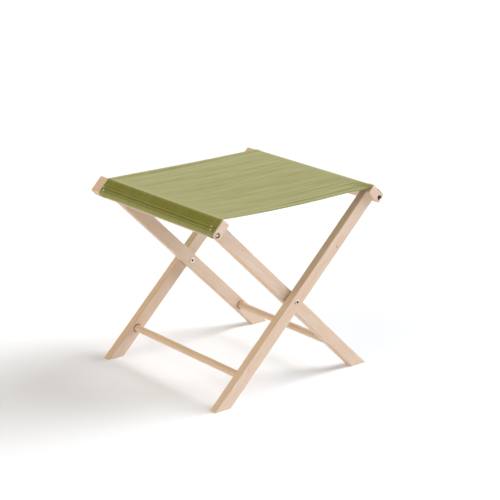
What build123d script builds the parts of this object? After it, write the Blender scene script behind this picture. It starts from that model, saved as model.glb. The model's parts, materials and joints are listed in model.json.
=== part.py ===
from build123d import *
import os
from math import cos, radians, sin, tan

# Folding X stool: two wooden frames cross on two pivots, and a canvas seat is stretched
# between their top rails. Millimetres, +Z up, Y along the rails and the pivot axis.
# The origin is on the floor, midway between the four feet. "near" is the -Y side.

# Driving dimensions: frames
pivot_height = 197.0        # pivot axis above the floor
leg_angle = 44.5            # every leg against the floor, with the canvas taut
leg_width = 30.0            # in the plane of the X
leg_thickness = 19.0        # along Y
half_depth = 206.0          # from the middle to the outer faces of the outer legs
leg_gap = 2.3               # between the crossing legs
arris = 2.0                 # rounding of the legs' long edges
foot_break = 0.8            # softened edge round the foot's sole

# Seat rails: boards that lie across the leg tops, wide face square to the leg
outer_rail_ends = (-216.0, 220.0)   # along Y
inner_rail_ends = (-220.0, 220.0)
rail_width = 40.0
rail_thickness = 20.0
rail_inner_face = 284.0     # from the pivot axis, along the leg
rail_above = 15.0           # rail's upper edge from the leg's centre line
rail_arris = 2.5
rail_outer_arris = 4.0      # the arris the canvas is pulled round
rail_end_break = 0.8

# Round channel that locks the canvas, with a narrow mouth in the rail's lower edge
groove_radius = 5.3
groove_from_edge = 7.5
groove_mouth = 2.6
rod_radius = 3.4
rod_pull = 0.6              # the taut canvas pulls each rod towards the mouth
rod_length = 425.0
rod_end_break = 0.5
rod_shift = 6.5             # the rods lie a little off the middle, one towards each end

# Stretchers
stretcher_radius = 8.0
stretcher_from_pivot = 197.5
stretcher_depth = 12.0      # how far each end goes into its leg
stretcher_end_break = 0.8
socket_break = 1.5          # chamfer round the socket's mouth
glue_gap = 0.05

# Loose dowel pins, two in each joint between a leg and its rail
pin_radius = 3.0
pin_length = 30.0
pin_into_rail = 13.0
pin_spacing = 15.0
pin_end_break = 0.6

# Pivot hardware: a sleeve nut from inside, a flat-headed bolt from outside
sleeve_radius = 4.0
flange_radius = 6.5         # the sleeve nut's head, on the inner leg's inside face
sleeve_bore = 3.0
bolt_radius = 2.95
bolt_engagement = 8.0       # how far the bolt goes on into the sleeve nut, past the legs' gap
sleeve_recess = 1.0         # the barrel stops this far inside the outer leg's face
head_radius = 5.0           # the bolt's head, outside
head_height = 1.4
head_round = 0.7
socket_across_flats = 5.0
socket_depth = 3.2
washer_radius = 9.0
washer_thickness = 2.0
running_gap = 0.06          # radial, between the sleeve and the leg that turns on it
face_gap = 0.15             # between faces that slide past each other

# Canvas seat
canvas_thickness = 0.9
canvas_near = (-216.0, -213.0)      # its side edges along Y, at the inner and the outer rail
canvas_far = (189.0, 189.5)
canvas_clear = 0.2          # from the wood
canvas_sag = 3.0
hem_height = 23.0           # doubled cloth up the rail's outer face
pocket_clearance = 0.1      # round the rod
overlap = 0.02              # so that stretches of the same cloth join

lean = 90.0 - leg_angle
rail_outer_face = rail_inner_face + rail_thickness
rail_below = rail_width - rail_above
groove_x = rail_below - groove_from_edge
rod_x = groove_x + rod_pull
groove_z = rail_inner_face + rail_thickness / 2
inner_half_depth = half_depth - leg_thickness - leg_gap
OUTER, INNER = 1, -1        # which frame
NEAR, FAR = -1, 1           # which end, along Y


def on_frame(shape, frame):
    """Lean a shape drawn on an upright leg (pivot at the origin) to its place in a frame."""
    upright = Location((0, 0, pivot_height)) * Rotation(0, frame * lean, 0)
    return upright * shape


def slab(x0, x1, y0, y1, z0, z1):
    """Box between two corners."""
    size = (abs(x1 - x0), abs(y1 - y0), abs(z1 - z0))
    return Pos((x0 + x1) / 2, (y0 + y1) / 2, (z0 + z1) / 2) * Box(*size)


def rod_along_y(radius, y0, y1):
    """Round bar along Y, on the Y axis."""
    bar = Cylinder(radius, abs(y1 - y0), rotation=(90, 0, 0))
    return Pos(0, (y0 + y1) / 2, 0) * bar


def leg_faces(frame, end):
    """The Y of a leg's outer and inner faces."""
    outside = half_depth if frame == OUTER else inner_half_depth
    return end * outside, end * (outside - leg_thickness)


def pin_places(frame, end):
    """Centres of the two dowel pins in one joint, at the leg's top."""
    middle = sum(leg_faces(frame, end)) / 2
    return [(x, middle, rail_inner_face) for x in (-pin_spacing / 2, pin_spacing / 2)]


def pin_hole():
    """Drilling for one pin, centred on the joint face."""
    below = pin_length - pin_into_rail
    spare = 0.5
    height = pin_length + 2 * spare
    return Pos(0, 0, (pin_into_rail - below) / 2) * Cylinder(pin_radius + glue_gap, height)


def leg(frame, end):
    """One leg, with its pivot hole, stretcher socket and pin drillings."""
    outside, inside = leg_faces(frame, end)
    foot = pivot_height / cos(radians(lean)) + leg_width
    half = leg_width / 2
    body = slab(-half, half, outside, inside, -foot, rail_inner_face)
    body = fillet(body.edges().filter_by(Axis.Z), arris)
    body -= rod_along_y(sleeve_radius + running_gap, outside + end, inside - end)
    socket = rod_along_y(stretcher_radius + glue_gap, inside - end, inside + end * stretcher_depth)
    mouth = Pos(0, inside + end * socket_break / 2, 0) * Cone(
        stretcher_radius + socket_break, stretcher_radius, socket_break, rotation=(-90 * end, 0, 0)
    )
    body -= Pos(0, 0, -stretcher_from_pivot) * (socket + mouth)
    for place in pin_places(frame, end):
        body -= Pos(*place) * pin_hole()
    body = on_frame(body, frame)
    below_floor = slab(-foot, foot, outside + end, inside - end, -foot, 0)
    body = body - below_floor
    sole = body.faces().sort_by(Axis.Z)[0]
    return chamfer(sole.outer_wire().edges(), foot_break)


def rail(frame):
    """Seat rail with the canvas channel along its lower edge."""
    x_up, x_low = -frame * rail_above, frame * rail_below
    y0, y1 = outer_rail_ends if frame == OUTER else inner_rail_ends
    middle = (y0 + y1) / 2
    body = slab(x_up, x_low, y0, y1, rail_inner_face, rail_outer_face)
    long_edges = body.edges().filter_by(Axis.Y)
    pulled = long_edges.sort_by_distance((x_low, middle, rail_outer_face))[0:1]
    body = fillet(pulled, rail_outer_arris)
    others = body.edges().filter_by(Axis.Y).filter_by(
        lambda e: any(
            (e.center() - Vector(x, middle, z)).length < 0.01
            for x, z in ((x_up, rail_inner_face), (x_up, rail_outer_face), (x_low, rail_inner_face))
        )
    )
    body = fillet(others, rail_arris)
    ends = body.faces().sort_by(Axis.Y)
    body = chamfer(ends[0].edges() + ends[-1].edges(), rail_end_break)
    channel = Pos(frame * groove_x, 0, groove_z) * rod_along_y(groove_radius, y0 - 1, y1 + 1)
    low_z, high_z = groove_z - groove_mouth / 2, groove_z + groove_mouth / 2
    mouth = slab(frame * groove_x, x_low + frame, y0 - 1, y1 + 1, low_z, high_z)
    body -= channel + mouth
    for end in (NEAR, FAR):
        for place in pin_places(frame, end):
            body -= Pos(*place) * pin_hole()
    return on_frame(body, frame)


def rail_pins(frame, end):
    """The two loose dowel pins of one joint, with chamfered ends."""
    pin = Cylinder(pin_radius, pin_length)
    pin = chamfer(pin.edges().filter_by(GeomType.CIRCLE), pin_end_break)
    pin = Pos(0, 0, pin_into_rail - pin_length / 2) * pin
    return Compound([on_frame(Pos(*place) * pin, frame) for place in pin_places(frame, end)])


def stretcher(frame):
    """Round stretcher between a frame's two legs."""
    reach = abs(leg_faces(frame, FAR)[1]) + stretcher_depth
    bar = rod_along_y(stretcher_radius, -reach, reach)
    bar = chamfer(bar.edges().filter_by(GeomType.CIRCLE), stretcher_end_break)
    return on_frame(Pos(0, 0, -stretcher_from_pivot) * bar, frame)


def canvas_rod(frame):
    """Rod in the canvas pocket, inside the rail's channel."""
    shift = frame * rod_shift
    bar = rod_along_y(rod_radius, shift - rod_length / 2, shift + rod_length / 2)
    bar = chamfer(bar.edges().filter_by(GeomType.CIRCLE), rod_end_break)
    return on_frame(Pos(frame * rod_x, 0, groove_z) * bar, frame)


def hex_socket(y_face, end):
    """Hexagon recess that opens at y_face, towards end."""
    hexagon = RegularPolygon(socket_across_flats / 2, 6, major_radius=False)
    return Pos(0, y_face, 0) * Rotation(90 * end, 0, 0) * extrude(hexagon, socket_depth)


def at_pivot(shape):
    """Lift a shape from the Y axis to the pivot axis."""
    return Pos(0, 0, pivot_height) * shape


def pivot_bolt(end):
    """Flat-headed bolt with a hexagon socket, screwed into the sleeve nut."""
    face = end * half_depth
    head = rod_along_y(head_radius, face, face + end * head_height)
    rim = head.edges().filter_by(GeomType.CIRCLE).sort_by(lambda e: abs(e.center().Y))[-1]
    head = fillet(rim, head_round)
    shank_end = face - end * (leg_thickness + leg_gap + bolt_engagement)
    body = head + rod_along_y(bolt_radius, face, shank_end)
    return at_pivot(body - hex_socket(face + end * head_height, end))


def pivot_sleeve(end):
    """Sleeve nut: its flange bears on the inner leg, and both legs hang on its barrel."""
    inner_face = leg_faces(INNER, end)[1]
    flange_top = inner_face - end * face_gap
    flange_end = flange_top - end * head_height
    flange = rod_along_y(flange_radius, flange_end, flange_top)
    rim = flange.edges().filter_by(GeomType.CIRCLE).sort_by(lambda e: abs(e.center().Y))[0]
    flange = fillet(rim, head_round)
    barrel_end = end * (half_depth - sleeve_recess)
    body = flange + rod_along_y(sleeve_radius, flange_top, barrel_end)
    body -= rod_along_y(sleeve_bore, flange_end + end * socket_depth, barrel_end + end)
    return at_pivot(body - hex_socket(flange_end, -end))


def spacer_washer(end):
    """Washer that keeps the crossing legs apart."""
    inside = leg_faces(OUTER, end)[1]
    ring = rod_along_y(washer_radius, inside, inside - end * washer_thickness)
    hole = rod_along_y(sleeve_radius + running_gap, inside + end, inside - end * 3 * washer_thickness)
    return at_pivot(ring - hole)


def canvas_wrap():
    """Section of the canvas round the outer frame's rail, drawn on an upright leg (X, Z)."""
    single = canvas_clear + canvas_thickness
    double = canvas_clear + 2 * canvas_thickness
    hem_x = rail_below - hem_height
    corner = (rail_below - rail_outer_arris, rail_outer_face - rail_outer_arris)

    def ring(reach):
        """Rail's lower outer corner, grown outwards, from the channel's mouth to the hem line."""
        radius = rail_outer_arris + reach
        up_x, top_z = rail_below + reach, rail_outer_face + reach
        outline = Polyline(
            (hem_x, corner[1]), (hem_x, top_z), (corner[0], top_z)
        ) + RadiusArc((corner[0], top_z), (up_x, corner[1]), radius) + Polyline(
            (up_x, corner[1]), (up_x, groove_z - canvas_thickness),
            (corner[0], groove_z - canvas_thickness), (hem_x, corner[1])
        )
        return make_face(outline)

    doubled = ring(double) - ring(canvas_clear)
    upper = Pos((hem_x - rail_above) / 2, rail_outer_face + (single + canvas_clear) / 2) * Rectangle(
        hem_x + rail_above + overlap, canvas_thickness
    )
    tail_end = rail_below + double
    tail_start = rod_x + rod_radius + canvas_thickness / 2
    tail = Pos((tail_start + tail_end) / 2, groove_z) * Rectangle(
        tail_end - tail_start, 2 * canvas_thickness
    )
    pocket_radius = rod_radius + pocket_clearance
    pocket = Circle(pocket_radius + canvas_thickness) - Circle(pocket_radius)
    return doubled + upper + tail + Pos(rod_x, groove_z) * pocket


def seat_canvas():
    """Canvas: taut span between the rails' upper arrises, wrapped round both rails."""
    far, near = max(canvas_far), min(canvas_near)
    upright = Plane(origin=(0, far, 0), x_dir=(1, 0, 0), z_dir=(0, -1, 0))
    outer = on_frame(extrude(upright * canvas_wrap(), far - near), OUTER)
    inner = mirror(outer, Plane.YZ)

    # where the wrap ends on the rail's upper arris, seen from the side
    out = rail_outer_face + canvas_clear + canvas_thickness / 2
    end_x = -rail_above * sin(radians(leg_angle)) + out * cos(radians(leg_angle))
    end_z = pivot_height + rail_above * cos(radians(leg_angle)) + out * sin(radians(leg_angle))
    half = canvas_thickness / 2
    mitre = half * tan(radians(lean / 2))
    top = ThreePointArc((-end_x, end_z + half), (0, end_z + half - canvas_sag), (end_x, end_z + half))
    low_end = end_x - mitre
    low = ThreePointArc(
        (low_end, end_z - half), (0, end_z - half - canvas_sag), (-low_end, end_z - half)
    )
    outline = top + Line(top @ 1, low @ 0) + low + Line(low @ 1, top @ 0)
    span = extrude(upright * make_face(outline), far - near)

    # the cloth isn't quite square: its side edges run a little askew from rail to rail
    plan = Polyline(
        (-end_x, canvas_near[0]), (end_x, canvas_near[1]), (2 * end_x, canvas_near[1]),
        (2 * end_x, canvas_far[1]), (end_x, canvas_far[1]), (-end_x, canvas_far[0]),
        (-2 * end_x, canvas_far[0]), (-2 * end_x, canvas_near[0]), close=True
    )
    return (outer + span + inner) & extrude(make_face(plan), 2 * pivot_height + end_z)


def write(name, shape):
    """Write one node, as a single solid where it is one piece."""
    solids = shape.solids()
    shape = solids[0] if len(solids) == 1 else Compound(list(solids))
    shape.label = name
    export_step(shape, f"parts/{name}.step")


os.makedirs("parts", exist_ok=True)
frames = {"outer": OUTER, "inner": INNER}
ends = {"near": NEAR, "far": FAR}

for frame_name, frame in frames.items():
    write(f"{frame_name}_rail", rail(frame))
    write(f"{frame_name}_stretcher", stretcher(frame))
    write(f"{frame_name}_canvas_rod", canvas_rod(frame))
    for end_name, end in ends.items():
        write(f"{frame_name}_leg_{end_name}", leg(frame, end))
        write(f"{frame_name}_rail_pins_{end_name}", rail_pins(frame, end))

for end_name, end in ends.items():
    write(f"pivot_bolt_{end_name}", pivot_bolt(end))
    write(f"pivot_sleeve_{end_name}", pivot_sleeve(end))
    write(f"spacer_washer_{end_name}", spacer_washer(end))

write("seat_canvas", seat_canvas())
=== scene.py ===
import json
from math import ceil, cos, pi, radians, sin, sqrt

import bpy
import numpy as np
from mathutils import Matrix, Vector


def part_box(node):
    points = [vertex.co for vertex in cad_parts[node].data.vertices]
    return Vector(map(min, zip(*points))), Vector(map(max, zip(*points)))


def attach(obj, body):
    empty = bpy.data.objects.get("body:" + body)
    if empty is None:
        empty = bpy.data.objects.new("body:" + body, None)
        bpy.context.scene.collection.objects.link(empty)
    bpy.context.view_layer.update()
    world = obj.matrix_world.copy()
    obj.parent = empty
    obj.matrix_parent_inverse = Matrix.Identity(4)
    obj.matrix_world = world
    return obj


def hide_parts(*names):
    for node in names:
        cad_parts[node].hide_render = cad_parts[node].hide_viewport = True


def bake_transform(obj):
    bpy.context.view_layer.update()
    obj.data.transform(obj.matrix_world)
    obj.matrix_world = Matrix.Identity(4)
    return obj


# Folding X stool: two beech frames, a canvas seat locked into the rails by rods, steel pivots.
# Metres, +Z up, Y along the rails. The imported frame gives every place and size.

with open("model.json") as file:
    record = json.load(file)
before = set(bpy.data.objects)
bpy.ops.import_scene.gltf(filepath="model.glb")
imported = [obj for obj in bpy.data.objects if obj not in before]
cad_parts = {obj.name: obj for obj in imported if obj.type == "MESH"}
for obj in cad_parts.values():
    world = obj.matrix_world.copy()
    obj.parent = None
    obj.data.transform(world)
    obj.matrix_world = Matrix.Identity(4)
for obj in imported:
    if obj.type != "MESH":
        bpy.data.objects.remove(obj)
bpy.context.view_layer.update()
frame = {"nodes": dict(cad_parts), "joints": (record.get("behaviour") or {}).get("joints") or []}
nodes = frame["nodes"]

MM = 0.001
BODIES = {"outer": "outer_frame", "inner": "inner_frame"}
SIDES = {"outer": 1, "inner": -1}       # +X or -X, where the frame's rail lies

pivot = Vector(frame["joints"][0]["pos_m"])


def middle(node):
    """Centre of a node's box."""
    low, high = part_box(node)
    return (low + high) / 2


# A frame's own directions: up along its legs, and square to them towards the seat's middle.
leg_up = pivot - middle("outer_stretcher")
leg_up.y = 0
leg_up.normalize()
leg_inward = Vector((-leg_up.z, 0, leg_up.x))


def reach(node, direction):
    """How far a node of the outer frame reaches from the pivot along a direction, both ways."""
    along = [(vertex.co - pivot).dot(direction) for vertex in nodes[node].data.vertices]
    return min(along), max(along)


# The outer rail's section in those directions, and its rod
rail_face = reach("outer_rail", leg_up)[1]
rail_low, rail_high = reach("outer_rail", leg_inward)
rod_along = sum(reach("outer_canvas_rod", leg_up)) / 2
rod_across = sum(reach("outer_canvas_rod", leg_inward)) / 2
rod_radius = (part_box("outer_canvas_rod")[1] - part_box("outer_canvas_rod")[0]).z / 2

# The cloth: one length of canvas, hemmed along both side edges, with a pocket at each end
cloth = 0.6 * MM                # thickness
layer = 0.62 * MM               # from the middle of one layer to the next
wood_gap = 0.2 * MM
rod_gap = 0.05 * MM
lower_arris = 4.0 * MM          # the rail's rounding under the canvas
upper_arris = 2.5 * MM
wrap_height = rail_high - rail_low
pocket_seam = 23.0 * MM         # where the returned cloth ends, above the rail's lower edge
seam_rows = (9.4 * MM, 17.0 * MM)       # the pocket's two rows of stitches, likewise
hem = 15.0 * MM
hem_row = 12.5 * MM             # stitches from the side edge
hem_step = (0.3 * MM, 2.2 * MM)         # past the hem, where two layers come down to one
side_fold = 0.45 * MM           # from the fold's edge to where the cloth's middle turns
edge_strip = hem + 22 * MM      # the strip along each side edge that is drawn finely
near_edge = {"inner": -216 * MM, "outer": -213 * MM}
far_edge = {"inner": 189 * MM, "outer": 189.5 * MM}
pocket_recess = 6 * MM          # the pocket's near end lies this deep in the channel
wrap_slant = 3 * MM             # how much shorter the inner rail's wrap is at its lower arris
sag = {"near": 5.7 * MM, "far": 1.2 * MM}
corner_drop = 5.0 * MM          # the near hem dips behind the outer rail
corner_width = 32 * MM          # how far from the near edge the dip is felt
hem_waves = (                   # drawn by the near hem's seam: height, place from the edge, width
    (-0.7 * MM, 14 * MM, 4 * MM), (0.6 * MM, 23 * MM, 5 * MM),
)
fan_height, fan_pitch, fan_width = 0.35 * MM, 17 * MM, 75 * MM      # folds by the near outer corner
ripples = (                     # across the seat: height, waves, lean, phase
    (0.20 * MM, 5.0, 0.0016, 0.4), (0.12 * MM, 9.3, -0.0027, 1.9), (0.07 * MM, 17.0, 0.0035, 4.1),
)

# Sewing
stitch_length = 3.9 * MM
stitch_gap = 0.5 * MM
thread = 0.45 * MM              # its radius
row_ends = dict(zip(seam_rows, ((10 * MM, 9 * MM), (14 * MM, 4 * MM))))     # from the side edges
tack_height = 3.0 * MM          # of the dense stitches that lock a row's end
tack_pitch = 0.55 * MM
tack_count = 6
tack_lead = (1 * MM, 2 * MM)    # how far before a row's start and end its tacks begin
hem_row_start = 2.5 * MM        # past the pocket's upper row
hem_dent = (0.16 * MM, 0.9 * MM)        # how deep a row draws the cloth in, and how wide
row_dent = (0.34 * MM, 1.25 * MM)
row_swell = (0.30 * MM, 2.4 * MM)       # where the cloth swells beside the pocket's rows
swell_offset = 3.8 * MM

# Wood
knot_up, knot_out = 150 * MM, 5.5 * MM      # in the near outer leg, from the pivot


# ---------------------------------------------------------------- materials


class Material:
    """A Principled material, and short calls that add its nodes."""

    def __init__(self, name):
        self.data = bpy.data.materials.new(name)
        self.data.use_nodes = True
        self.tree = self.data.node_tree
        self.shader = self.tree.nodes["Principled BSDF"]

    def node(self, kind, **settings):
        made = self.tree.nodes.new("ShaderNode" + kind)
        for key, value in settings.items():
            setattr(made, key, value)
        return made

    def feed(self, socket, value):
        if isinstance(value, bpy.types.NodeSocket):
            self.tree.links.new(value, socket)
        else:
            socket.default_value = value

    def set(self, **values):
        """Set the shader's own sockets, named with underscores."""
        for key, value in values.items():
            self.feed(self.shader.inputs[key.replace("_", " ")], value)

    def math(self, operation, *values):
        made = self.node("Math", operation=operation)
        for socket, value in zip(made.inputs, values):
            self.feed(socket, value)
        return made.outputs[0]

    def plus(self, first, second):
        return self.math("ADD", first, second)

    def less(self, first, second):
        return self.math("SUBTRACT", first, second)

    def times(self, first, second):
        return self.math("MULTIPLY", first, second)

    def length(self, x, y):
        """Length of a flat vector."""
        return self.math("SQRT", self.plus(self.times(x, x), self.times(y, y)))

    def from_axis(self, place, centre):
        """Distance from the line along Y through centre, and how far along it, in millimetres."""
        x, y, z = self.split(place)
        centre = Vector(centre) / MM
        return self.length(self.less(x, centre.x), self.less(z, centre.z)), self.less(y, centre.y)

    def dot(self, vector, direction):
        made = self.node("VectorMath", operation="DOT_PRODUCT")
        self.feed(made.inputs[0], vector)
        made.inputs[1].default_value = direction
        return made.outputs["Value"]

    def join(self, x, y, z):
        made = self.node("CombineXYZ")
        for socket, value in zip(made.inputs, (x, y, z)):
            self.feed(socket, value)
        return made.outputs[0]

    def split(self, vector):
        made = self.node("SeparateXYZ")
        self.feed(made.inputs[0], vector)
        return made.outputs

    def stretched(self, vector, scale, offset=(0, 0, 0)):
        made = self.node("Mapping")
        self.feed(made.inputs["Vector"], vector)
        made.inputs["Scale"].default_value = scale
        made.inputs["Location"].default_value = offset
        return made.outputs[0]

    def noise(self, vector, detail=2.0, roughness=0.5):
        made = self.node("TexNoise")
        self.feed(made.inputs["Vector"], vector)
        made.inputs["Scale"].default_value = 1.0
        made.inputs["Detail"].default_value = detail
        made.inputs["Roughness"].default_value = roughness
        return made.outputs[0]

    def spread(self, value, low, high, to_low=0.0, to_high=1.0):
        """Map a range to another, smoothly and clamped."""
        made = self.node("MapRange", interpolation_type="SMOOTHSTEP")
        for socket, number in zip(made.inputs, (value, low, high, to_low, to_high)):
            self.feed(socket, number)
        return made.outputs[0]

    def band(self, value, rise, fall):
        """1 between a range where it rises and one where it falls, and 0 outside them."""
        return self.times(self.spread(value, *rise), self.spread(value, *fall, 1.0, 0.0))

    def mix(self, share, first, second):
        """Mix two colours, each an (r, g, b) or a socket."""
        made = self.node("Mix", data_type="RGBA")
        share_in, first_in, second_in = (made.inputs[i] for i in (0, 6, 7))
        self.feed(share_in, share)
        for socket, value in ((first_in, first), (second_in, second)):
            self.feed(socket, (*value, 1.0) if isinstance(value, tuple) else value)
        return made.outputs[2]

    def bump(self, height, distance, strength=1.0):
        made = self.node("Bump")
        made.inputs["Strength"].default_value = strength
        made.inputs["Distance"].default_value = distance
        self.feed(made.inputs["Height"], height)
        self.feed(self.shader.inputs["Normal"], made.outputs[0])

    def place(self):
        """Where a point is in the row frame, in millimetres."""
        coordinates = self.node("TexCoord").outputs["Object"]
        made = self.node("VectorMath", operation="SCALE")
        self.feed(made.inputs[0], coordinates)
        made.inputs["Scale"].default_value = 1 / MM
        return made.outputs[0]


WOOD_LIGHT = (0.700, 0.545, 0.415)
WOOD_DARK = (0.585, 0.415, 0.285)
WOOD_WARM = (0.690, 0.490, 0.345)
WOOD_FLECK = (0.400, 0.240, 0.140)
WOOD_HANDLED = (0.560, 0.400, 0.270)
WOOD_SOCKET_SHADE = (0.290, 0.170, 0.095)
WOOD_CHANNEL_SHADE = (0.070, 0.042, 0.024)

RING_WIDTH = 3.4            # mm from one growth ring to the next
HEART_DISTANCE = 70         # mm from a piece to the middle of its tree
SOCKET_RIM = (9.6, 11.2)    # mm from the stretcher's axis, where the painted shade round the mouth fades out
CHANNEL_RIM = (5.4, 5.8)    # mm from the channel's axis, where the painted shade fades out
KNOT_RIM = (1.8, 4.4)       # mm from the knot's middle
RUBBED_EDGE = (2.6, 0.6)    # mm inside a piece's side, where the worn edge starts and is full


def beech(name, along, centre, seed, section=None, tone=0.0, knot=None, socket=None, groove=None):
    """Oiled beech. along is the grain's direction and centre a point on the piece's middle line,
    section its half width and half depth where wear darkens its long edges, and socket the middle
    of a round mouth, across Y, round which the wood is painted dark as shade where the dowel enters.
    groove is the middle of a round channel along Y whose walls are painted dark as shade, and tone
    how much darker than usual the piece is."""
    wood = Material(name)
    along = Vector(along)
    across = Vector((0, 1, 0)).cross(along) if abs(along.y) < 0.5 else Vector(leg_up)
    depth = along.cross(across)
    centre = Vector(centre) / MM
    place = wood.place()
    x = wood.less(wood.dot(place, across), centre.dot(across))
    y = wood.less(wood.dot(place, depth), centre.dot(depth))
    z = wood.dot(place, along)
    local = wood.join(x, y, z)
    shift = (17.3 * seed, 9.1 * seed, 41.7 * seed)

    # growth rings about a heart outside the piece: lines along the faces, arcs on the end grain
    drift = wood.noise(wood.stretched(local, (0.02, 0.02, 0.006), shift), detail=2)
    turn = 1.9 * seed
    from_heart = wood.length(
        wood.less(x, HEART_DISTANCE * cos(turn)), wood.less(y, HEART_DISTANCE * sin(turn))
    )
    radius = wood.plus(from_heart, wood.times(drift, 26.0))
    ring = wood.math("FRACT", wood.math("DIVIDE", radius, RING_WIDTH))
    late_wood = wood.spread(ring, 0.35, 1.0)

    broad = wood.noise(wood.stretched(local, (0.05, 0.05, 0.012), shift), detail=3, roughness=0.6)
    fibre = wood.noise(wood.stretched(local, (2.2, 2.2, 0.05), shift), detail=3, roughness=0.6)
    rays = wood.noise(wood.stretched(local, (1.5, 1.5, 0.28), shift), detail=1)
    ray = wood.spread(rays, 0.66, 0.76)

    colour = wood.mix(wood.spread(broad, 0.34, 0.66), WOOD_LIGHT, WOOD_WARM)
    colour = wood.mix(wood.times(late_wood, 0.34), colour, WOOD_DARK)
    colour = wood.mix(wood.spread(fibre, 0.52, 0.8, 0.0, 0.30), colour, WOOD_DARK)
    colour = wood.mix(wood.times(ray, 0.30), colour, WOOD_FLECK)
    if tone:
        colour = wood.mix(tone, colour, WOOD_DARK)
    if knot:
        away = wood.node("VectorMath", operation="DISTANCE")
        wood.feed(away.inputs[0], place)
        away.inputs[1].default_value = Vector(knot) / MM
        wobble = wood.plus(away.outputs["Value"], wood.times(rays, 1.5))
        colour = wood.mix(wood.spread(wobble, *KNOT_RIM, 0.9, 0.0), colour, WOOD_FLECK)
    if socket:
        # painted shade: a dark ring on the leg's inner face round the stretcher's mouth, where the gap
        # between dowel and hole lies in shadow
        distance, along_axis = wood.from_axis(place, socket)
        inward = wood.times(along_axis, -1.0 if socket.y > 0 else 1.0)
        inside_face = wood.spread(inward, 3.0, 4.0)
        rim = wood.times(wood.spread(distance, *SOCKET_RIM, 0.95, 0.0), inside_face)
        colour = wood.mix(rim, colour, WOOD_SOCKET_SHADE)
    if groove:
        # painted shade: the walls of the rod's channel in the rail are darkened as the recess's shadow
        distance, _ = wood.from_axis(place, groove)
        colour = wood.mix(wood.spread(distance, *CHANNEL_RIM, 0.9, 0.0), colour, WOOD_CHANNEL_SHADE)
    if section:
        # long edges, where hands rub the oil in
        near_x, near_y = (
            wood.spread(wood.math("ABSOLUTE", value), side - RUBBED_EDGE[0], side - RUBBED_EDGE[1])
            for value, side in zip((x, y), section)
        )
        wear_and_highlight_band = wood.times(near_x, near_y)
        patchy = wood.times(wear_and_highlight_band, wood.spread(broad, 0.3, 0.65, 0.15, 0.75))
        colour = wood.mix(patchy, colour, WOOD_HANDLED)
    wood.set(Base_Color=colour)
    wood.set(Roughness=wood.spread(fibre, 0.3, 0.7, 0.47, 0.62))
    wood.bump(wood.less(fibre, wood.times(ray, 0.5)), 0.00012, 0.6)
    return wood.data


OLIVE_DARK = (0.125, 0.131, 0.010)
OLIVE_LIGHT = (0.245, 0.243, 0.040)
OLIVE_BROAD = (0.228, 0.225, 0.038)
OLIVE_FILLING = (0.137, 0.139, 0.013)
OLIVE_PATCH = (0.170, 0.167, 0.010)
OLIVE_LIT_STRIP = (0.340, 0.330, 0.125)
OLIVE_EDGE = (0.330, 0.320, 0.110)
OLIVE_SHADED = (0.075, 0.074, 0.006)
OLIVE_POCKET_SHADE = (0.060, 0.062, 0.012)
OLIVE_BETWEEN = (0.11, 0.11, 0.02)
YARN = 1.1                  # mm from one yarn to the next


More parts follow.
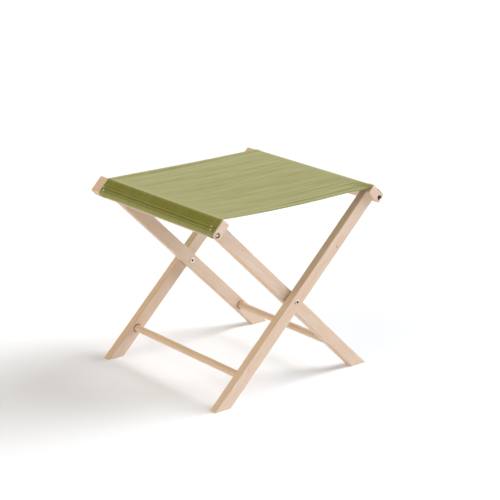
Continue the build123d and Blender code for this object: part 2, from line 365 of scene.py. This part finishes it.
def canvas_material(name, length, lit_strip, rows, pocket, upper):
    """Olive cotton canvas: plain weave with slubs, drawn in the flat cloth's own coordinates, in
    millimetres. Measured from each end, the first stretch is painted paler as a highlight, rows the seam's
    two rows of stitches, pocket a stretch painted dark as shade inside the rail's channel and upper the
    edge that the cloth turns over."""
    canvas = Material(name)
    flat = canvas.node("Attribute", attribute_name="flat").outputs["Vector"]
    run, width, _ = canvas.split(flat)
    from_middle = canvas.math("ABSOLUTE", canvas.less(run, length / 2))
    from_end = canvas.less(length / 2, from_middle)
    weave = canvas.times(*(canvas.math("SINE", canvas.times(way, pi / YARN)) for way in (run, width)))

    slub = canvas.noise(canvas.stretched(flat, (0.011, 0.42, 1.0)), detail=4, roughness=0.65)
    broad = canvas.noise(canvas.stretched(flat, (0.006, 0.07, 1.0), (3, 8, 0)), detail=3, roughness=0.6)
    filling = canvas.noise(canvas.stretched(flat, (0.5, 0.012, 1.0), (9, 1, 0)), detail=3, roughness=0.6)
    patches = canvas.noise(canvas.stretched(flat, (0.012, 0.022, 1.0), (5, 2, 0)), detail=4, roughness=0.65)

    colour = canvas.mix(canvas.spread(slub, 0.36, 0.66), OLIVE_DARK, OLIVE_LIGHT)
    colour = canvas.mix(canvas.spread(broad, 0.35, 0.65, 0.0, 0.55), colour, OLIVE_BROAD)
    colour = canvas.mix(canvas.spread(filling, 0.45, 0.72, 0.0, 0.42), colour, OLIVE_FILLING)
    colour = canvas.mix(canvas.spread(patches, 0.42, 0.66, 0.0, 0.60), colour, OLIVE_PATCH)
    # painted highlight: the strip from the rail's lower edge up to the lower row is painted paler, as where
    # light falls on it, mottled by the slubs
    wear_and_highlight_band = canvas.band(from_end, (lit_strip[0] - 3, lit_strip[0] + 1), (lit_strip[1] - 3, lit_strip[1]))
    wear_and_highlight_band = canvas.times(wear_and_highlight_band, canvas.spread(slub, 0.3, 0.6, 0.35, 0.75))
    colour = canvas.mix(wear_and_highlight_band, colour, OLIVE_LIT_STRIP)
    turned = canvas.band(from_end, (upper - 8, upper), (upper + 1, upper + 9))
    colour = canvas.mix(canvas.times(turned, 0.6), colour, OLIVE_EDGE)
    for row in rows:
        beside = canvas.band(from_end, (row - 3.4, row - 1.6), (row - 1.0, row - 0.2))
        colour = canvas.mix(canvas.times(beside, 0.75), colour, OLIVE_SHADED)
    # painted shade: the pocket's cloth inside the rail's channel is darkened as its shadow
    pocket_shade = canvas.spread(from_end, pocket[1] - 2, pocket[1] + 2, 0.85, 0.0)
    colour = canvas.mix(pocket_shade, colour, OLIVE_POCKET_SHADE)
    colour = canvas.mix(canvas.spread(weave, -1.0, 1.0, 0.14, 0.0), colour, OLIVE_BETWEEN)
    canvas.set(Base_Color=colour)
    canvas.set(Roughness=canvas.spread(slub, 0.3, 0.7, 0.95, 0.82))
    canvas.set(Sheen_Weight=0.85, Sheen_Roughness=0.36, Sheen_Tint=(1.0, 0.95, 0.70, 1.0))
    canvas.set(Specular_IOR_Level=0.2)
    height = canvas.plus(canvas.times(weave, 0.5), canvas.times(slub, 1.6))
    height = canvas.plus(height, canvas.times(filling, 0.9))
    canvas.bump(height, 0.00020, 0.6)
    return canvas.data


PLY = 0.6                   # mm from one twist of the thread to the next


def thread_material(name, light, dark):
    """Twisted polyester thread."""
    twist = Material(name)
    flat = twist.node("Attribute", attribute_name="flat").outputs["Vector"]
    run, width, _ = twist.split(flat)
    ply = twist.math("SINE", twist.times(twist.plus(run, width), 2 * pi / PLY))
    patches = twist.noise(twist.stretched(flat, (0.05, 0.05, 1.0)), detail=2)
    colour = twist.mix(twist.spread(ply, -1.0, 1.0), dark, light)
    colour = twist.mix(twist.spread(patches, 0.4, 0.7, 0.0, 0.4), colour, dark)
    twist.set(Base_Color=colour, Roughness=twist.spread(patches, 0.3, 0.7, 0.45, 0.6))
    twist.bump(ply, 0.00005, 0.6)
    return twist.data


NICKEL = (0.82, 0.72, 0.66)
NICKEL_SCUFFED = (0.70, 0.61, 0.56)
NICKEL_EDGE = (0.88, 0.79, 0.72)
SOCKET_SHADE = (0.05, 0.035, 0.03)
HEAD_EDGE = (4.0, 5.0)          # mm from the pivot's axis
SOCKET_EDGE = (2.6, 3.0)


def nickel(name, seed):
    """Satin nickel-plated steel, brushed round the pivot's axis, with the middle of its hexagon socket
    painted dark as shade.
    """
    steel = Material(name)
    place = steel.place()
    radius, _ = steel.from_axis(place, pivot)
    turned = steel.noise(steel.join(steel.times(radius, 6.0), 0.0, seed), detail=3, roughness=0.7)
    scuffs = steel.noise(steel.stretched(place, (0.5, 0.5, 0.5)), detail=4, roughness=0.7)
    colour = steel.mix(steel.spread(scuffs, 0.35, 0.7), NICKEL, NICKEL_SCUFFED)
    colour = steel.mix(steel.times(steel.spread(radius, *HEAD_EDGE), 0.5), colour, NICKEL_EDGE)
    # painted shade in the hexagon socket's recess, round the axis
    colour = steel.mix(steel.spread(radius, *SOCKET_EDGE, 1.0, 0.0), colour, SOCKET_SHADE)
    steel.set(Base_Color=colour, Metallic=1.0)
    brushed = steel.spread(turned, 0.3, 0.7, 0.40, 0.54)
    steel.set(Roughness=steel.plus(brushed, steel.spread(scuffs, 0.4, 0.8, 0.0, 0.12)))
    steel.bump(turned, 0.00004, 0.5)
    return steel.data


NYLON_DARK = (0.035, 0.027, 0.021)
NYLON_LIGHT = (0.06, 0.048, 0.038)


def nylon(name):
    """Dark brown moulded nylon."""
    plastic = Material(name)
    place = plastic.place()
    grain = plastic.noise(plastic.stretched(place, (3.0, 3.0, 3.0)), detail=3)
    patches = plastic.noise(plastic.stretched(place, (0.2, 0.2, 0.2)), detail=2)
    plastic.set(Base_Color=plastic.mix(plastic.spread(patches, 0.35, 0.65), NYLON_DARK, NYLON_LIGHT))
    plastic.set(Roughness=plastic.spread(grain, 0.3, 0.7, 0.5, 0.7))
    plastic.bump(grain, 0.00004, 0.4)
    return plastic.data


def paint(name, material):
    """Give a CAD node one material."""
    nodes[name].data.materials.clear()
    nodes[name].data.materials.append(material)


# ---------------------------------------------------------------- wood and hardware

leg_half_width = reach("outer_leg_near", leg_inward)[1] / MM
seed = 0
for side, sign in SIDES.items():
    up = Vector((sign * leg_up.x, 0, leg_up.z))
    for end in ("near", "far"):
        seed += 1
        name = f"{side}_leg_{end}"
        low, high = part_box(name)
        centre = Vector((pivot.x, (low.y + high.y) / 2, pivot.z))
        half_depth = (high.y - low.y) / 2 / MM
        outward = Vector((sign * up.z, 0, -sign * up.x))
        knot = None
        if name == "outer_leg_near":
            knot = centre + up * knot_up + outward * knot_out
            knot.y = low.y
        socket = middle(f"{side}_stretcher")
        socket.y = centre.y
        half_sizes = (leg_half_width, half_depth)
        paint(name, beech(name, up, centre, seed, section=half_sizes, knot=knot, socket=socket))
        pins = f"{side}_rail_pins_{end}"
        paint(pins, beech(pins, up, middle(pins), seed + 20))
    for part in ("rail", "stretcher", "canvas_rod"):
        seed += 1
        name = f"{side}_{part}"
        tone = 0.12 if part == "stretcher" else 0.0
        groove = middle(f"{side}_canvas_rod") if part == "rail" else None
        paint(name, beech(name, (0, 1, 0), middle(name), seed, tone=tone, groove=groove))

for end in ("near", "far"):
    for part in ("pivot_bolt", "pivot_sleeve"):
        name = f"{part}_{end}"
        paint(name, nickel(name, seed))
        seed += 1
    paint(f"spacer_washer_{end}", nylon(f"spacer_washer_{end}"))


# ---------------------------------------------------------------- the canvas


def smooth(value, low, high):
    """0 below low and 1 above high, smoothly."""
    t = np.clip((value - low) / (high - low), 0, 1)
    return t * t * (3 - 2 * t)


def bell(offset, width):
    """1 at an offset of 0, and falling off either side."""
    return np.exp(-((offset / width) ** 2))


def arc(centre, radius, start, stop, step=14.0):
    """Points of an arc, angles in degrees."""
    count = max(2, ceil(abs(stop - start) / step)) + 1
    return [
        (centre[0] + radius * cos(radians(a)), centre[1] + radius * sin(radians(a)))
        for a in np.linspace(start, stop, count)
    ]


def straight(start, stop, step):
    """Points of a straight run, without its last point."""
    length = sqrt((stop[0] - start[0]) ** 2 + (stop[1] - start[1]) ** 2)
    count = max(1, ceil(length / step))
    return [
        (start[0] + (stop[0] - start[0]) * i / count, start[1] + (stop[1] - start[1]) * i / count)
        for i in range(count)
    ]


def wrap_route():
    """The cloth's middle round the outer rail, from the pocket's seam to the upper arris.
    Points are (along the leg, across it), with the layers under each point where the hem is."""
    inner_gap = wood_gap + cloth / 2
    outer_gap = inner_gap + layer
    fine = 1.3 * MM
    mouth = layer / 2
    pocket = rod_radius + rod_gap + cloth / 2
    turn = 1.0 * MM
    arris = (rail_face - lower_arris, rail_low + lower_arris)
    open_angle = 12.0       # the pocket's mouth, either side of straight down

    face = rail_face + inner_gap
    back = straight((face, rail_low + pocket_seam), (face, arris[1]), fine)
    back += arc(arris, lower_arris + inner_gap, 0, -90)
    low = rail_low - inner_gap
    back += straight((arris[0], low), (rod_along + mouth + turn, low), fine)[1:]
    back += arc((rod_along + mouth + turn, low + turn), turn, -90, -180, 30)
    ring = arc((rod_along, rod_across), pocket, -90 + open_angle, 270 - open_angle, 12)
    low = rail_low - outer_gap
    out = arc((rod_along - mouth + turn, low + turn), turn, 180, 270, 30)
    out += straight((rod_along - mouth + turn, low), (arris[0], low), fine)[1:]
    out += arc(arris, lower_arris + outer_gap, -90, 0)
    step_up = rail_low + pocket_seam
    out += straight((rail_face + outer_gap, arris[1]), (rail_face + outer_gap, step_up), fine)[1:]
    step_over = 3.0 * MM
    single = straight((face, step_up + step_over), (face, rail_high - upper_arris), 2 * fine)
    turn_over = 45.5        # to the level of the seat
    top = arc((rail_face - upper_arris, rail_high - upper_arris), upper_arris + inner_gap, 0, turn_over, 12)
    under = [0.0] * len(back) + [0.0] * len(ring) + [2.0] * len(out) + [1.0] * (len(single) + len(top))
    return back + ring + out + single + top, under


def in_frame(point):
    """(x, z) of a point of the outer rail's section."""
    place = pivot + leg_up * point[0] + leg_inward * point[1]
    return place.x, place.z


class Canvas:
    """The cloth's middle surface: a route from rail to rail, and the hems across it."""

    def __init__(self):
        wrap, under = wrap_route()
        right = [in_frame(point) for point in wrap]
        top_x, top_z = right[-1]
        span = np.linspace(top_x, -top_x, 75)[1:-1]
        line = right + [(x, top_z) for x in span] + [(-x, z) for x, z in reversed(right)]
        self.line = np.array(line)
        self.under = np.array(under + [1.0] * len(span) + under[::-1])
        held = [0.0] * len(right)
        self.free = np.array(held + [1 - (x / top_x) ** 2 for x in span] + held)
        self.half = len(right)
        steps = np.linalg.norm(np.diff(self.line, axis=0), axis=1)
        self.run = np.concatenate([[0], np.cumsum(steps)])
        self.length = self.run[-1]
        ahead = np.gradient(self.line, axis=0)
        ahead /= np.linalg.norm(ahead, axis=1)[:, None]
        # the route turns anticlockwise, so its outer side is on the right
        self.normal = np.stack([ahead[:, 1], -ahead[:, 0]], axis=1)
        share = np.clip((top_x - self.line[:, 0]) / (2 * top_x), 0, 1)
        self.near = near_edge["outer"] + (near_edge["inner"] - near_edge["outer"]) * share
        down_wrap = np.clip((top_z - self.line[:, 1]) / (wrap_height * leg_up.x), 0, 1)
        down_wrap *= self.line[:, 0] < 0
        self.far = far_edge["outer"] + (far_edge["inner"] - far_edge["outer"]) * share
        self.far -= wrap_slant * down_wrap
        from_end = np.minimum(self.run, self.length - self.run)
        low_face = self.run[[i for i in range(self.half) if under[i] == 2.0][0]]
        self.near += pocket_recess * (1 - smooth(from_end, low_face - 1 * MM, low_face + 10 * MM))
        self.top_x, self.top_z = top_x, top_z
        # the seam rows are measured from the rail's lower edge, up the cloth's outer layer
        outer_face = [
            i for i, point in enumerate(wrap)
            if point[0] > rail_face + wood_gap + cloth and point[1] > rail_low + lower_arris
        ]
        first = outer_face[0]
        self.low_edge = float(self.run[first] - (wrap[first][1] - rail_low))
        self.rows = {height: self.low_edge + height for height in seam_rows}
        pocket_end = max(i for i in range(self.half) if under[i] == 0.0)
        self.pocket = [float(self.run[i]) for i in (0, pocket_end)]
        self.flat = (float((self.far - self.near).max() + 2 * hem), float(self.length))

    def at(self, name, run):
        return np.interp(run, self.run, getattr(self, name))

    def lift(self, run, y, from_near, from_far):
        """How far the cloth stands off its route: hems, seam puckers, ripples and sag."""
        edge = np.minimum(from_near, from_far)
        up = self.at("under", run) * layer * (1 - smooth(edge, hem + hem_step[0], hem + hem_step[1]))
        return up + self.puckers(run, edge) + self.slack(run, y, from_near)

    def puckers(self, run, edge):
        """The dents of the seams, with the cloth swelling beside the pocket's rows."""
        depth, width = hem_dent
        up = -depth * bell(edge - hem_row, width) * (self.at("under", run) > 0.5)
        sewn = smooth(edge, 6 * MM, 12 * MM)
        beyond = swell_offset if run < self.length / 2 else -swell_offset
        for row in self.rows.values():
            for here in (row, self.length - row):
                depth, width = row_dent
                up -= depth * bell(run - here, width) * sewn
                height, width = row_swell
                up += height * bell(run - here - beyond, width) * sewn
        return up

    def slack(self, run, y, from_near):
        """The free cloth's sag, its ripples, and the pull of the near hem and outer corner."""
        free = self.at("free", run)
        across = (y - self.near.min()) / (self.far.max() - self.near.min())
        x = (run - self.length / 2) / MM
        up = -(sag["near"] + (sag["far"] - sag["near"]) * smooth(across, 0.0, 1.0)) * free
        taut = smooth(free, 0.0, 0.5)
        for height, waves, lean, phase in ripples:
            up += height * np.sin(2 * pi * (waves * across + lean * x) + phase) * taut
        # the hem's seam draws a wave along the near edge, and folds fan out from the near outer corner
        pulled = taut * (0.35 + 0.65 * smooth(-x, -160, 0))
        for height, place, width in hem_waves:
            up += height * bell(from_near - place, width) * pulled
        inward = max(0.0, run - self.run[self.half - 1]) / MM
        dip = (1 - np.exp(-inward / 8)) * bell(inward, 45)
        up -= corner_drop * dip * bell(from_near, corner_width)
        fan = smooth(-x, 0, 150) * bell(from_near, fan_width) * smooth(free, 0.0, 0.25)
        fan *= smooth(from_near, 20 * MM, 40 * MM)
        up += fan_height * np.sin(2 * pi * from_near / fan_pitch - 0.012 * x) * fan
        return up


canvas = Canvas()


def cloth_section(width):
    """The cloth across its width, hems turned under: (distance from the near edge, side) of its
    middle, where side is how many layers down. Distances run along the folded cloth."""
    dense, less_dense, wide = 1.1 * MM, 1.8 * MM, 6.5 * MM      # steps across the cloth
    turned = list(np.linspace(hem, side_fold, 8))
    fold = [(side_fold - side_fold * sin(a), -0.5 - 0.5 * cos(a)) for a in np.linspace(0, pi, 7)[1:-1]]
    edge = list(np.arange(side_fold, hem + 4 * MM, dense))
    edge += list(np.arange(hem + 5 * MM, edge_strip, less_dense))
    count = ceil((width - 2 * edge[-1]) / wide)
    inside = list(np.linspace(edge[-1], width - edge[-1], count + 1)[1:-1])
    half = [(d, -1.0) for d in turned] + fold + [(d, 0.0) for d in edge]
    other = [(width - d, down) for d, down in reversed(half)]
    return half + [(d, 0.0) for d in inside] + other


def fitted_section(template, width):
    """The template, drawn for a cloth one metre wide, with its inside narrowed to a width."""
    points = np.array(template)
    distance = points[:, 0]
    narrowed = (width - 2 * edge_strip) / (1.0 - 2 * edge_strip)
    fitted = edge_strip + (distance - edge_strip) * narrowed
    fitted = np.where(distance > 1.0 - edge_strip, distance - 1.0 + width, fitted)
    fitted = np.where(distance < edge_strip, distance, fitted)
    return np.stack([fitted, points[:, 1]], axis=1)


def grid_mesh(name, rings, flats):
    """A closed mesh from rings of points, one ring after another, with the flat coordinates."""
    ring = len(rings[0])
    points = [tuple(p) for r in rings for p in r]
    faces = []
    for i in range(len(rings) - 1):
        for j in range(ring):
            k = (j + 1) % ring
            faces.append((i * ring + j, i * ring + k, (i + 1) * ring + k, (i + 1) * ring + j))
    last = (len(rings) - 1) * ring
    for j in range(ring // 2 - 1):
        faces.append((j + 1, j, ring - 1 - j, ring - 2 - j))
        faces.append((last + j, last + j + 1, last + ring - 2 - j, last + ring - 1 - j))
    return finish_mesh(name, points, faces, flats)


def finish_mesh(name, points, faces, flats):
    """A smooth object that keeps each point's place on the flat cloth as the attribute flat."""
    mesh = bpy.data.meshes.new(name)
    mesh.from_pydata(points, [], faces)
    mesh.polygons.foreach_set("use_smooth", [True] * len(faces))
    attribute = mesh.attributes.new("flat", "FLOAT_VECTOR", "POINT")
    attribute.data.foreach_set("vector", np.array(flats, np.float32).ravel())
    mesh.update()
    made = bpy.data.objects.new(name, mesh)
    bpy.context.scene.collection.objects.link(made)
    return made


def build_canvas():
    """The whole seat as one folded, hemmed and sewn length of cloth."""
    template = cloth_section(1.0)
    rings, flats = [], []
    for i, run in enumerate(canvas.run):
        width = canvas.far[i] - canvas.near[i]
        centre = canvas.line[i]
        normal = canvas.normal[i]
        across = fitted_section(template, width)
        distance, down = across[:, 0], across[:, 1]
        y = canvas.near[i] + distance
        up = canvas.lift(run, y, distance, width - distance) + down * layer
        tangent = np.gradient(np.stack([y, up], axis=1), axis=0)
        tangent /= np.linalg.norm(tangent, axis=1)[:, None]
        side = np.stack([-tangent[:, 1], tangent[:, 0]], axis=1) * cloth / 2
        top_y, top_up = y + side[:, 0], up + side[:, 1]
        low_y, low_up = y - side[:, 0], up - side[:, 1]
        ring_y = np.concatenate([top_y, low_y[::-1]])
        ring_up = np.concatenate([top_up, low_up[::-1]])
        ring_x, ring_z = (centre[axis] + normal[axis] * ring_up for axis in (0, 1))
        rings.append(np.stack([ring_x, ring_y, ring_z], axis=1))
        along = np.concatenate([[0], np.cumsum(np.hypot(np.diff(y), np.diff(up)))]) / MM
        both = np.concatenate([along, along[::-1]])
        flats.append(np.stack([np.full(len(both), run / MM), both, np.zeros(len(both))], axis=1))
    return grid_mesh("seat_cloth", rings, np.concatenate(flats))


def surface(run, from_near):
    """A point on the cloth's outer face, and its outward direction."""
    near, far = canvas.at("near", run), canvas.at("far", run)
    y = near + from_near
    up = canvas.lift(run, y, from_near, far - near - from_near) + cloth / 2
    x = np.interp(run, canvas.run, canvas.line[:, 0])
    z = np.interp(run, canvas.run, canvas.line[:, 1])
    nx = np.interp(run, canvas.run, canvas.normal[:, 0])
    nz = np.interp(run, canvas.run, canvas.normal[:, 1])
    return np.array([x + nx * up, y, z + nz * up]), np.array([nx, 0, nz])


def stitches(name, places):
    """Thread loops that dive into the cloth at both ends. places are pairs of (run, from_near)."""
    sides = 6
    stations = (-0.5, -0.42, -0.15, 0.15, 0.42, 0.5)        # along a stitch, in its lengths
    heights = (-0.30 * MM, 0.0, 0.16 * MM, 0.16 * MM, 0.0, -0.30 * MM)
    points, faces, flats = [], [], []
    for start, stop in places:
        first = len(points)
        a, up = surface(*start)
        b, _ = surface(*stop)
        ahead = (b - a) / np.linalg.norm(b - a)
        sideways = np.cross(ahead, up)
        for station, height in zip(stations, heights):
            middle_run = (start[0] + stop[0]) / 2 + (stop[0] - start[0]) * station
            middle_near = (start[1] + stop[1]) / 2 + (stop[1] - start[1]) * station
            centre, _ = surface(middle_run, middle_near)
            centre = centre + up * height
            thin = thread * (0.6 if abs(station) == 0.5 else 1.0)
            for k in range(sides):
                angle = 2 * pi * k / sides
                points.append(tuple(centre + thin * (cos(angle) * up + sin(angle) * sideways)))
                flats.append((middle_run / MM, middle_near / MM, angle))
        for i in range(len(stations) - 1):
            for k in range(sides):
                j = (k + 1) % sides
                here, there = first + i * sides, first + (i + 1) * sides
                faces.append((here + k, there + k, there + j, here + j))
        faces.append(tuple(first + k for k in range(sides)))
        last = first + (len(stations) - 1) * sides
        faces.append(tuple(last + k for k in reversed(range(sides))))
    return finish_mesh(name, points, faces, flats)


def row_along_rail(run, start, stop):
    """Stitches along Y at one place of the route."""
    pitch = stitch_length + stitch_gap
    count = int((stop - start) / pitch)
    places = [start + i * pitch for i in range(count)]
    return [((run, place), (run, place + stitch_length)) for place in places]


def row_along_hem(from_near, start, stop):
    """Stitches along the route, a constant distance inside the near edge, or the far one where
    from_near is below 0."""
    pitch = stitch_length + stitch_gap
    places = []
    for i in range(int((stop - start) / pitch)):
        a, b = start + i * pitch, start + i * pitch + stitch_length
        if from_near < 0:
            widths = [float(canvas.at("far", r) - canvas.at("near", r)) for r in (a, b)]
            places.append(((a, widths[0] + from_near), (b, widths[1] + from_near)))
        else:
            places.append(((a, from_near), (b, from_near)))
    return places


def bar_tack(run, from_near):
    """A dense zigzag of stitches that locks a row's end."""
    low, high = run - tack_height / 2, run + tack_height / 2
    return [
        ((low, from_near + i * tack_pitch), (high, from_near + (i + 0.5) * tack_pitch))
        for i in range(tack_count)
    ]


seat_cloth = build_canvas()
seat_cloth.data.materials.append(canvas_material(
    "olive_canvas", canvas.length / MM,
    lit_strip=(canvas.low_edge / MM, canvas.rows[seam_rows[0]] / MM),
    rows=[run / MM for run in canvas.rows.values()],
    pocket=[place / MM for place in canvas.pocket],
    upper=float(canvas.run[canvas.half - 1]) / MM,
))
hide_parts("seat_canvas")

thread_paint = thread_material("olive_thread", (0.62, 0.68, 0.25), (0.36, 0.40, 0.11))
tack_paint = thread_material("pale_thread", (0.86, 0.93, 0.62), (0.60, 0.67, 0.36))
for side, sign in SIDES.items():
    rows, tacks = [], []
    for height, run in canvas.rows.items():
        here = run if side == "outer" else canvas.length - run
        width = float(canvas.at("far", here) - canvas.at("near", here))
        start, spare = row_ends[height]
        rows += row_along_rail(here, start, width - spare)
        tacks += bar_tack(here, start - tack_lead[0])
        tacks += bar_tack(here, width - spare - tack_lead[1])
    for name, places, look in (("pocket_rows", rows, thread_paint), ("row_locks", tacks, tack_paint)):
        made = stitches(f"{side}_{name}", places)
        made.data.materials.append(look)
        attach(made, BODIES[side])

hem_start = canvas.rows[seam_rows[1]] + hem_row_start
hem_rows = row_along_hem(hem_row, hem_start, canvas.length - hem_start)
hem_rows += row_along_hem(-hem_row, hem_start, canvas.length - hem_start)
hem_thread = stitches("hem_rows", hem_rows)
hem_thread.data.materials.append(thread_material("hem_thread", (0.34, 0.38, 0.10), (0.17, 0.19, 0.04)))


def turn_by_angle(piece):
    """Read a piece's points into an array; nothing is moved or folded."""
    count = len(piece.data.vertices)
    points = np.empty(count * 3)
    piece.data.vertices.foreach_get("co", points)
    points = points.reshape(-1, 3)


for piece in (seat_cloth, hem_thread):
    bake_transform(piece)
    turn_by_angle(piece)


# ---------------------------------------------------------------- floor, light, camera

floor_mesh = bpy.data.meshes.new("floor")
floor_mesh.from_pydata([(-30, -30, 0), (30, -30, 0), (30, 30, 0), (-30, 30, 0)], [], [(0, 1, 2, 3)])
floor = bpy.data.objects.new("floor", floor_mesh)
bpy.context.scene.collection.objects.link(floor)
pale = Material("pale_floor")
pale.set(Base_Color=(0.86, 0.86, 0.87, 1.0), Roughness=0.9, Specular_IOR_Level=0.1)
pale.set(Emission_Color=(0.62, 0.74, 1.0, 1.0), Emission_Strength=0.10)
floor_mesh.materials.append(pale.data)


def soft_light(name, toward, strength, width, colour):
    """An even light from far off, width degrees across; toward points at it."""
    lamp = bpy.data.lights.new(name, "SUN")
    lamp.energy, lamp.angle, lamp.color = strength, radians(width), colour
    made = bpy.data.objects.new(name, lamp)
    made.rotation_mode = "QUATERNION"
    made.rotation_quaternion = (-Vector(toward)).to_track_quat("-Z", "Y")
    bpy.context.scene.collection.objects.link(made)


soft_light("key", (1.0, -0.3, 0.5), 3.6, 40, (0.88, 0.91, 1.0))
soft_light("high", (0.7, -0.25, 0.8), 1.5, 40, (0.93, 0.97, 0.95))
soft_light("left_fill", (-1.0, 0.05, 0.9), 1.25, 60, (1.0, 0.88, 0.66))
soft_light("left_low", (-1.0, -0.1, 0.15), 0.75, 60, (1.0, 0.86, 0.60))
soft_light("back_fill", (-0.1, 1.0, 0.9), 0.45, 60, (1.0, 0.86, 0.66))
soft_light("front_fill", (-0.3, -0.9, 0.4), 0.45, 60, (0.50, 0.65, 1.0))

world = bpy.data.worlds.new("studio")
bpy.context.scene.world = world
world.use_nodes = True
# white towards the horizon, where the studio's walls are, and dim above
sky = world.node_tree.nodes
direction, parts, shade = (sky.new("ShaderNode" + kind) for kind in ("TexCoord", "SeparateXYZ", "MapRange"))
join = world.node_tree.links.new
join(direction.outputs["Generated"], parts.inputs[0])
join(parts.outputs["Z"], shade.inputs["Value"])
for socket, number in (("From Min", 0.07), ("From Max", 0.12), ("To Min", 1.0), ("To Max", 0.0)):
    shade.inputs[socket].default_value = number
join(shade.outputs[0], sky["Background"].inputs["Strength"])
sky["Background"].inputs["Color"].default_value = (1.0, 1.0, 1.0, 1.0)
bpy.context.scene.view_settings.view_transform = "Standard"

camera_azimuth, camera_elevation = -38.714, 17.540      # degrees
camera_target = Vector((0.1517, 0.1433, 0.197))
camera_distance = 3.970
camera_lens = 122.78            # mm, on a sensor 36 mm wide
azimuth, elevation = radians(camera_azimuth), radians(camera_elevation)
back = Vector((sin(azimuth) * cos(elevation), -cos(azimuth) * cos(elevation), sin(elevation)))
camera_data = bpy.data.cameras.new("camera")
camera_data.sensor_width = 36.0
camera_data.lens = camera_lens
camera = bpy.data.objects.new("camera", camera_data)
camera.location = camera_target + back * camera_distance
camera.rotation_mode = "QUATERNION"
camera.rotation_quaternion = (-back).to_track_quat("-Z", "Y")
bpy.context.scene.collection.objects.link(camera)
bpy.context.scene.camera = camera
